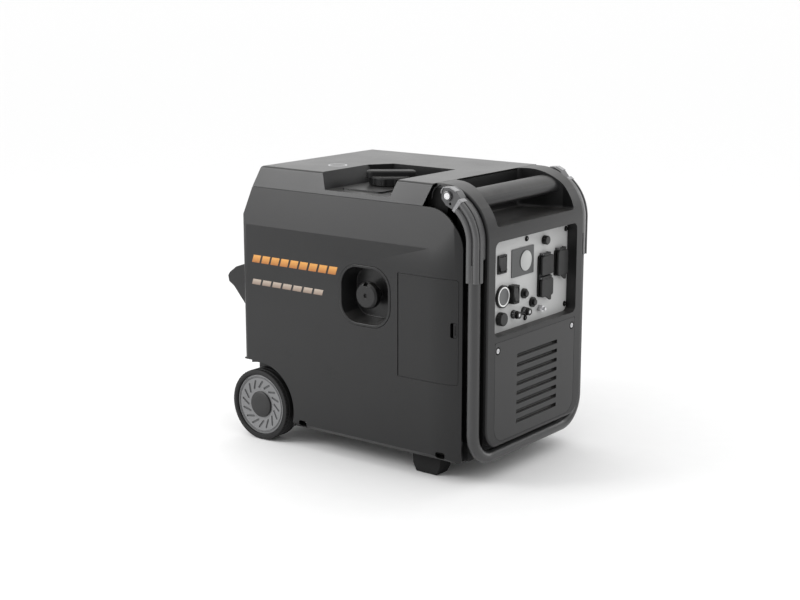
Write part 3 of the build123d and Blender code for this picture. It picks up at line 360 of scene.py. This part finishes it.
glow = (
    lobe((0, 0, 1), 90) * studio["overhead"]
    + lobe((-0.6, 0.79, 0.12), 75) * studio["behind"]
    + lobe((-0.61, -0.79, -0.09), 27) * studio["window"]
    + studio["base"]
)
air.node(
    "ShaderNodeOutputWorld",
    None,
    {"Surface": air.node("ShaderNodeBackground", None, {"Color": (1, 1, 1, 1), "Strength": glow})},
)

lamps = {
    "sidePanel": {"place": (-1.25, -1.5, 1.25), "size": (0.9, 0.9), "watts": 24},
    "frontStrip": {"place": (2.9, 0.5, 1.1), "size": (0.5, 1.6), "watts": 13},
    "rightEdge": {"place": (0.9, 1.9, 0.7), "size": (0.3, 1.4), "watts": 5},
}
for name, lamp in lamps.items():
    light = bpy.data.lights.new(name, "AREA")
    light.shape = "RECTANGLE"
    light.size, light.size_y = lamp["size"]
    light.energy = lamp["watts"]
    holder = bpy.data.objects.new(name, light)
    holder.location = lamp["place"]
    aim = Vector((0, 0, 0.28)) - Vector(lamp["place"])
    holder.rotation_mode = "QUATERNION"
    holder.rotation_quaternion = aim.to_track_quat("-Z", "Y")
    holder.visible_camera = False
    scene.collection.objects.link(holder)
print("floor and lights set")

# mesh tools


def settle(piece, body, slot, material=None, node=None):
    piece.data.materials.clear()
    piece.data.materials.append(materials[material or slot])
    if piece.name not in scene.collection.objects:
        scene.collection.objects.link(piece)
    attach(piece, body)
    if node:
        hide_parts(node)
    return piece


sharpAngle = 30  # degrees between faces that get a rounded edge


def rounding(piece, width):
    bevel = piece.modifiers.new("rounding", "BEVEL")
    bevel.width = width
    bevel.segments = 2
    bevel.limit_method = "ANGLE"
    bevel.angle_limit = math.radians(sharpAngle)
    bevel.miter_outer = "MITER_ARC"
    weighted = piece.modifiers.new("shading", "WEIGHTED_NORMAL")
    weighted.keep_sharp = True


def finished(node, width, material=None):
    # a clean copy of a CAD piece with its sharp edges broken
    mesh = frame["nodes"][node].data.copy()
    work = bmesh.new()
    work.from_mesh(mesh)
    bmesh.ops.remove_doubles(work, verts=work.verts, dist=0.002 * mm)
    bmesh.ops.dissolve_limit(
        work, angle_limit=math.radians(0.3), verts=work.verts, edges=work.edges, delimit=set()
    )
    for face in work.faces:
        face.smooth = True
    work.to_mesh(mesh)
    work.free()
    if mesh.attributes.get("custom_normal"):
        mesh.attributes.remove(mesh.attributes["custom_normal"])
    mesh.set_sharp_from_angle(angle=math.radians(sharpAngle))
    piece = bpy.data.objects.new(node + ".finish", mesh)
    rounding(piece, width)
    return settle(piece, bodyOf[node], slotOf[node], material, node)


breaks = {  # width of the broken edge, in millimetres
    "left_side_cover": 0.9,
    "right_side_cover": 0.9,
    "top_cover": 0.8,
    "rear_cover": 0.7,
    "service_door": 0.6,
    "door_latch": 0.5,
    "front_fascia": 0.9,
    "vent_panel": 0.5,
    "recoil_cup": 0.8,
    "handle_brackets": 0.7,
    "switch_housings": 0.5,
    "duplex_flap_upper": 0.4,
    "duplex_flap_lower": 0.4,
    "twistlock_flap": 0.4,
    "rear_grip": 0.8,
    "front_feet": 1.2,
    "fuel_cap": 0.7,
    "recoil_grip": 0.6,
    "left_rim": 0.4,
    "right_rim": 0.4,
    "control_plate": 0.3,
    "mode_knob": 0.3,
    "fuel_valve_knob": 0.4,
    "output_rocker": 0.4,
    "breaker_lever": 0.4,
}
for node, width in breaks.items():
    finished(node, width * mm, "bracket_steel" if node == "handle_brackets" else None)
print("edges broken on", len(breaks), "pieces")

# makers of new pieces


def deliver(name, work, body, slot, material=None, node=None, angle=35, edge=0):
    # turns a bmesh in millimetres into a piece
    bmesh.ops.recalc_face_normals(work, faces=work.faces)
    for face in work.faces:
        face.smooth = True
    for vertex in work.verts:
        vertex.co *= mm
    mesh = bpy.data.meshes.new(name)
    work.to_mesh(mesh)
    work.free()
    mesh.set_sharp_from_angle(angle=math.radians(angle))
    piece = bpy.data.objects.new(name, mesh)
    if edge:
        rounding(piece, edge * mm)
    return settle(piece, body, slot, material, node)


turns = {"x": ((1, 0, 0), (0, 1, 0)), "y": ((0, 1, 0), (0, 0, 1)), "z": ((0, 0, 1), (1, 0, 0))}


def turned(work, profile, centre, axis="x", steps=64, closed=False, dip=None):
    # spins (along, radius) points round an axis through the centre
    along, first = (Vector(v) for v in turns[axis])
    second = along.cross(first)
    rings = []
    for index, (reach, radius) in enumerate(profile):
        middle = Vector(centre) + along * reach
        if radius == 0:
            rings.append([work.verts.new(middle)] * steps)
            continue
        ring = []
        for step in range(steps):
            angle = 2 * math.pi * step / steps
            out = first * math.cos(angle) + second * math.sin(angle)
            length = radius - (dip(index, step) if dip else 0)
            ring.append(work.verts.new(middle + out * length))
        rings.append(ring)
    pairs = list(zip(rings, rings[1:] + rings[:1])) if closed else list(zip(rings, rings[1:]))
    for low, high in pairs:
        for step in range(steps):
            after = (step + 1) % steps
            corners = []
            for vertex in (low[step], low[after], high[after], high[step]):
                if vertex not in corners:
                    corners.append(vertex)
            if len(corners) > 2:
                work.faces.new(corners)
    if not closed:
        for ring in (rings[0], rings[-1]):
            if ring[0] is not ring[1]:
                work.faces.new(ring)
    return work


def fromFace(face, profile, side=1):
    # a turning profile measured outwards from a face
    return [(side * (face + out), radius) for out, radius in profile]


def slab(work, points, push):
    # flat outline pushed along a vector
    near = [work.verts.new(Vector(point)) for point in points]
    far = [work.verts.new(Vector(point) + Vector(push)) for point in points]
    work.faces.new(near)
    work.faces.new(far)
    for index in range(len(points)):
        after = (index + 1) % len(points)
        work.faces.new((near[index], near[after], far[after], far[index]))
    return work


cornerX, cornerZ = 198.5, 420  # centre of the frame's top corner
plateX, frontX = 268.5, 288.5  # faces of the control plate and the vent panel
legSteps, bendSteps = 4, 24


def cornerPath(radius, foot, angle):
    # stations up the front and back round the top corner, as (x, z)
    stations = [(cornerX + radius, foot + (cornerZ - foot) * step / legSteps) for step in range(legSteps)]
    for step in range(bendSteps + 1):
        turn = math.radians(angle * step / bendSteps)
        stations.append((cornerX + radius * math.cos(turn), cornerZ + radius * math.sin(turn)))
    return stations


def cornerSweep(work, profile, side, foot, angle, start=None, cut=0):
    # sweeps (radius, breadth) points along that path
    rings = []
    for radius, breadth in profile:
        stations = cornerPath(radius, foot + cut * (radius - profile[0][0]), angle)
        if start is not None:
            stations = arc((cornerX, cornerZ), radius, start, angle, legSteps)
        rings.append([work.verts.new((x, side * breadth, z)) for x, z in stations])
    count = len(rings[0])
    for index, ring in enumerate(rings):
        after = rings[(index + 1) % len(rings)]
        for step in range(count - 1):
            work.faces.new((ring[step], ring[step + 1], after[step + 1], after[step]))
    work.faces.new([ring[0] for ring in rings])
    work.faces.new([ring[-1] for ring in rings])
    return work


def arc(centre, radius, start, end, steps=6):
    return [
        (
            centre[0] + radius * math.cos(math.radians(start + (end - start) * step / steps)),
            centre[1] + radius * math.sin(math.radians(start + (end - start) * step / steps)),
        )
        for step in range(steps + 1)
    ]


# pull handle

sleeve = {
    "footZ": 354,
    "tipZ": 385,  # the inner front band ends higher up
    "tipCut": 0.7,
    "angle": 56,
    "sideBand": [
        (61, 160), (61, 173.5), (62.3, 176), (64.6, 177),
        (68.4, 177), (70.8, 176.2), (72, 174.2), (72.6, 172.6),
    ],
    "cornerBand": [
        (75, 172.6), (75.6, 174.4), (76.8, 176.3), (78.4, 177), (80.2, 177), (82.8, 176.2), (84.8, 174.6),
    ],
    "frontGroove": [
        (85.5, 172.4), (85, 171.2), (82.6, 170.6), (82.6, 168.4), (85, 167.6), (85.5, 166), (85.5, 160),
    ],
    "frontBand": [(73, 152.5), (84, 152.5), (85.1, 153.1), (85.5, 154.4), (85.5, 160.3), (73, 160.3)],
    "backBand": [(61, 152.5), (61, 161), (74, 161), (74, 152.5)],
    "collar": [(60.6, 160), (60.6, 175), (62.4, 177.3), (84, 177.3), (85.9, 175.4), (85.9, 160)],
    "collarAngles": (51.5, 56.5),
}
foot, bend = sleeve["footZ"], sleeve["angle"]
work = bmesh.new()
for side in (-1, 1):
    outline = sleeve["sideBand"] + sleeve["cornerBand"] + sleeve["frontGroove"]
    cornerSweep(work, outline, side, foot, bend)
    cornerSweep(work, sleeve["frontBand"], side, sleeve["tipZ"], bend, cut=sleeve["tipCut"])
    cornerSweep(work, sleeve["backBand"], side, foot, bend)
deliver("sleeveGrips", work, "pull_handle", "knob_plastic", "sleeve_satin", "handle_sleeves", angle=50)
work = bmesh.new()
start, end = sleeve["collarAngles"]
for side in (-1, 1):
    cornerSweep(work, sleeve["collar"], side, 0, end, start=start)
# the collars at the sleeve ends are real; their pale colour is a painted highlight
deliver("sleeveCollars", work, "pull_handle", "handle_steel", "bracket_painted_highlight", edge=0.3)

bolt = {
    "x": 219.5,
    "z": 493.8,
    "faceY": 173.4,
    "profile": [(-1.5, 8.2), (0.2, 8.2), (0.6, 7.6), (0.6, 6.1), (0.1, 5.6), (-1.5, 5.6)],
}
work = bmesh.new()
for side in (-1, 1):
    profile = fromFace(bolt["faceY"], bolt["profile"], side)
    turned(work, profile, (bolt["x"], 0, bolt["z"]), "y", 40, closed=True)
deliver("boltRings", work, "chassis", "dark_steel", "bracket_steel")

# painted highlight: thin strips of the lighter bracket copy along the bracket's top edge
bracketHighlight = {
    "line": [(236.5, 503.2), (224, 508.9), (210.2, 507.8), (205.9, 501.5), (205.9, 497)],
    "inY": 160,
    "outY": 171.6,
    "thick": 1.8,
}
work = bmesh.new()
for side in (-1, 1):
    y = side * bracketHighlight["inY"]
    for (x0, z0), (x1, z1) in zip(bracketHighlight["line"], bracketHighlight["line"][1:]):
        length = math.hypot(x1 - x0, z1 - z0)
        nx, nz = (leg / length * bracketHighlight["thick"] for leg in (z0 - z1, x1 - x0))
        outline = [(x0, y, z0), (x1, y, z1), (x1 + nx, y, z1 + nz), (x0 + nx, y, z0 + nz)]
        slab(work, outline, (0, side * (bracketHighlight["outY"] - bracketHighlight["inY"]), 0))
deliver("bracketHighlightStrips", work, "pull_handle", "handle_steel", "bracket_painted_highlight", edge=0.3)

# painted shade: near-black sheets line the channel behind the arms, where shade falls

channel = {
    "y": (151.6, 152.1),
    "low": 72,
    "radii": (28, 83),
    "angle": 80,
    "shoulder": [(168, 442), (168, 500), (184, 502.2), (200, 504), (214, 503), (226, 472), (226, 442)],
}
near, far = channel["y"]
inner, outer = channel["radii"]
work = bmesh.new()
for side in (-1, 1):
    outline = [(inner, near), (inner, far), (outer, far), (outer, near)]
    cornerSweep(work, outline, side, channel["low"], channel["angle"])
    slab(work, [(x, side * near, z) for x, z in channel["shoulder"]], (0, side * far - side * near, 0))
deliver("channelPaintedShade", work, "chassis", "black_plastic", "painted_shade_black")

rib = {
    "points": [(175, 484), (176.5, 494), (181, 502), (190, 507.2)],
    "y": 153,
    "radius": 1.5,
    "slant": 0.7,
    "sides": 8,
}
work = bmesh.new()
for side in (-1, 1):
    rings = []
    for x, z in rib["points"]:
        ring = []
        for step in range(rib["sides"]):
            turn = 2 * math.pi * step / rib["sides"]
            across = rib["radius"] * math.cos(turn) * rib["slant"]
            y = side * rib["y"] + rib["radius"] * math.sin(turn)
            ring.append(work.verts.new((x + across, y, z - across)))
        rings.append(ring)
    for low, high in zip(rings, rings[1:]):
        for step in range(rib["sides"]):
            after = (step + 1) % rib["sides"]
            work.faces.new((low[step], low[after], high[after], high[step]))
    work.faces.new(rings[0])
    work.faces.new(rings[-1])
deliver("channelRibs", work, "chassis", "frame_plastic")
print("handle dressed")

# control plate

starter = {
    "y": -80.5,
    "z": 316,
    "front": 273.3,
    "profile": [(-1, 17.1), (0.15, 17.1), (0.4, 16.7), (0.4, 15), (0.15, 14.6), (-1, 14.6)],
}
profile = fromFace(starter["front"], starter["profile"])
work = turned(bmesh.new(), profile, (0, starter["y"], starter["z"]), "x", 72, closed=True)
deliver("startRing", work, "chassis", "button_grey", "pale_plastic")

dial = {
    "y": -9.5,
    "z": 367.6,
    "front": plateX + 2.6,
    "profile": [(-0.8, 17.6), (0.1, 17.6), (0.35, 17), (0.35, 0)],
}
profile = fromFace(dial["front"], dial["profile"])
work = turned(bmesh.new(), profile, (0, dial["y"], dial["z"]), "x", 72)
deliver("displayDial", work, "chassis", "display_grey", "dial_grey")

posts = {
    "places": [(-45, 279), (-12, 279)],
    "flute": 0.7,
    "profile": [
        (0.1, 7.6), (2.2, 7.6), (2.6, 7), (9.5, 7), (10.4, 6.3), (14, 6.3),
        (14.5, 5.8), (14.5, 3.1), (12, 3.1), (0.1, 3.1),
    ],
}


def fluted(index, step):
    # every third point round the barrel is cut in
    return posts["flute"] if index in (2, 3) and step % 3 == 0 else 0


work = bmesh.new()
for y, z in posts["places"]:
    turned(work, fromFace(plateX, posts["profile"]), (0, y, z), "x", 48, closed=True, dip=fluted)
deliver("postCollars", work, "chassis", "black_plastic", "gloss_black")

# painted shade: near-black rings round the screw heads stand in for the shade in their seats
screwShadeRings = (
    {
        "places": [(-6, 405), (123, 405), (124, 268), (-6.6, 266)],
        "face": plateX,
        "steps": 32,
        "profile": [(0.1, 4.9), (1.4, 4.7), (2.5, 3.4), (2.5, 1.8), (1.9, 1.6), (0.1, 1.6)],
    },
    {
        "places": [(-119, 231.5), (119, 231.5)],
        "face": frontX,
        "steps": 40,
        "profile": [(-1.9, 6.9), (-0.5, 6.9), (-0.3, 6.6), (-0.3, 4.6), (-0.6, 4.4), (-1.9, 4.4)],
    },
)
work = bmesh.new()
for kind in screwShadeRings:
    for y, z in kind["places"]:
        turned(work, fromFace(kind["face"], kind["profile"]), (0, y, z), "x", kind["steps"], closed=True)
deliver("screwPaintedShadeRings", work, "chassis", "black_plastic", "painted_shade_black")

# painted shade: near-black strips over the lower edge of each louvre blade and over the slot's right end
louvre = {
    "count": 8,
    "low": 92,
    "pitch": 16.6,
    "y": (-60, 70),
    "end": 9,
    "back": frontX - 3,
    "edge": [(0, 0.1), (0.5, 0.1), (-0.6, 1.4), (-1.1, 1.4)],
    "full": [(0, 0.1), (0.6, 0.1), (-5.5, 7.2), (-6.1, 7.2)],
}
left, right = louvre["y"]
work = bmesh.new()
for row in range(louvre["count"]):
    foot = louvre["low"] + louvre["pitch"] * row
    edge, full = ([(louvre["back"] + out, foot + up) for out, up in louvre[key]] for key in ("edge", "full"))
    slab(work, [(x, left, z) for x, z in edge], (0, right - left, 0))
    slab(work, [(x, right - louvre["end"], z) for x, z in full], (0, louvre["end"], 0))
deliver("louvrePaintedShade", work, "chassis", "vent_plastic", "painted_shade_black")

# painted shade: a near-black loop just behind the vent panel's seam darkens the gap
ventShadeLoop = {
    "halfWidth": 128.2,
    "low": 71.3,
    "high": 245.7,
    "corner": 26.7,
    "width": 2.6,
    "x": (287.2, 288.3),
}
inset = ventShadeLoop["width"] / 2
loops = []
for grow in (inset, -inset):
    radius = ventShadeLoop["corner"] + grow
    reach, low, high = ventShadeLoop["halfWidth"] + grow, ventShadeLoop["low"] - grow, ventShadeLoop["high"] + grow
    loop = [(reach, high), (-reach, high)]
    loop += arc((-reach + radius, low + radius), radius, 180, 270)
    loop += arc((reach - radius, low + radius), radius, 270, 360)
    loops.append(loop)
work = bmesh.new()
rings = [[work.verts.new((x, y, z)) for y, z in loop] for loop in loops for x in ventShadeLoop["x"]]
rings = [rings[0], rings[1], rings[3], rings[2]]
for index, ring in enumerate(rings):
    after = rings[(index + 1) % len(rings)]
    for step in range(len(ring)):
        follow = (step + 1) % len(ring)
        work.faces.new((ring[step], ring[follow], after[follow], after[step]))
deliver("ventSeamShade", work, "chassis", "black_plastic", "painted_shade_black")

seam = {"x": (-216, 164), "y": (164.5, 167.3), "z": (471.3, 472.1)}
start, end = seam["x"]
(near, far), (low, high) = seam["y"], seam["z"]
work = bmesh.new()
for side in (-1, 1):
    outline = [(start, side * y, z) for y, z in ((near, low), (far, low), (far, high), (near, high))]
    slab(work, outline, (end - start, 0, 0))
deliver("seamShadow", work, "chassis", "black_plastic", "painted_shade_black")
print("control end dressed")

# side stripes

stripeRows = (
    {
        "name": "stripeUpper",
        "material": "stripe_amber",
        "z": (334, 348),
        "start": -214,
        "blocks": 9,
        "pitch": 22.5,
        "width": 18,
    },
    {
        "name": "stripeLower",
        "material": "stripe_silver",
        "z": (293, 303),
        "start": -215,
        "blocks": 7,
        "pitch": 24.6,
        "width": 20,
    },
)
foil = {"y": -177, "thick": 0.25, "lean": 0.35}
for row in stripeRows:
    low, high = row["z"]
    lean = (high - low) * foil["lean"]
    work = bmesh.new()
    for block in range(row["blocks"]):
        start = row["start"] + row["pitch"] * block
        end = start + row["width"]
        outline = [(start, low), (end, low), (end + lean, high), (start + lean, high)]
        slab(work, [(x, foil["y"], z) for x, z in outline], (0, -foil["thick"], 0))
    deliver(row["name"], work, "chassis", "rim_silver", row["material"])

# wheels

wheel = {
    "x": -198.2,
    "z": 66.4,
    "centre": 163,
    "sipes": 60,
    "sipeDepth": 0.9,
    "halfTread": [
        (16.5, 56.3), (18.4, 57), (18.9, 58), (18.4, 58.5), (18.4, 59), (19, 59.5),
        (19, 64.2), (18.6, 65.5), (17.4, 66.3), (15.5, 66.4), (11.8, 66.4), (11.2, 65.2),
        (10.2, 65.2), (9.6, 66.4), (1, 66.4), (0.5, 65.2),
    ],
    "hubDisc": [(13.2, 24.3), (15.7, 24.3), (16.5, 23.6), (16.8, 22.6), (17, 12), (17.1, 0)],
    "slotBack": [(10.5, 27), (12.2, 27), (14.2, 49.5), (10.5, 49.5)],
    "ridges": ((50.2, 51.4), (52.2, 53)),
    "ridgeBack": 14,
}
tread = wheel["halfTread"] + [(-along, radius) for along, radius in reversed(wheel["halfTread"])]
shoulders = [index for index, (along, radius) in enumerate(tread) if 11 < abs(along) < 17.5 and radius > 66]


def siped(index, step):
    # cuts across both shoulders of the tread
    return wheel["sipeDepth"] if index in shoulders and step % 3 == 0 else 0


for name, side in (("left", -1), ("right", 1)):
    hub = (wheel["x"], side * wheel["centre"], wheel["z"])
    body = name + "_wheel"
    work = turned(bmesh.new(), tread, hub, "y", wheel["sipes"] * 3, closed=True, dip=siped)
    deliver(name + "Tread", work, body, "tyre_rubber", None, name + "_tyre", angle=28)
    work = turned(bmesh.new(), fromFace(0, wheel["hubDisc"], side), hub, "y", 64)
    deliver(name + "HubDisc", work, body, "hub_plastic", None, name + "_hub_cap")
    # painted shade: the slot backs and their ridges take a darkened copy of rim silver
    work = turned(bmesh.new(), fromFace(0, wheel["slotBack"], side), hub, "y", 64, closed=True)
    for low, high in wheel["ridges"]:
        back, flank = wheel["ridgeBack"], 15.9 + (low - 50) * 0.1
        crest = (flank + 0.4, (low + high) / 2)
        ridge = [(back, low), (flank, low), crest, (flank, high), (back, high)]
        turned(work, fromFace(0, ridge, side), hub, "y", 96, closed=True)
    deliver(name + "SlotBacks", work, body, "rim_silver", "rim_painted_shade")
print("wheels dressed")

# top

plug = {
    "x": -96.5,
    "y": -71,
    "top": 510,
    "profile": [(-1, 17.6), (0, 17.6), (0.2, 17.1), (0.2, 15.4), (0, 14.9), (-1, 14.9)],
}
profile = fromFace(plug["top"], plug["profile"])
work = turned(bmesh.new(), profile, (plug["x"], plug["y"], 0), "z", 64, closed=True)
deliver("plugRing", work, "chassis", "body_plastic", "plug_edge")

studs = {
    "places": [(132, -141), (132, 141), (-180, -149), (-180, 149)],
    "top": 510,
    "profile": [(-1.5, 4.2), (0, 4.2), (0.15, 3.7), (0.15, 1.6), (0.05, 1.2), (0.05, 0)],
}
work = bmesh.new()
for x, y in studs["places"]:
    turned(work, fromFace(studs["top"], studs["profile"]), (x, y, 0), "z", 28)
deliver("topStuds", work, "chassis", "black_plastic", "gloss_black")
print("top dressed")
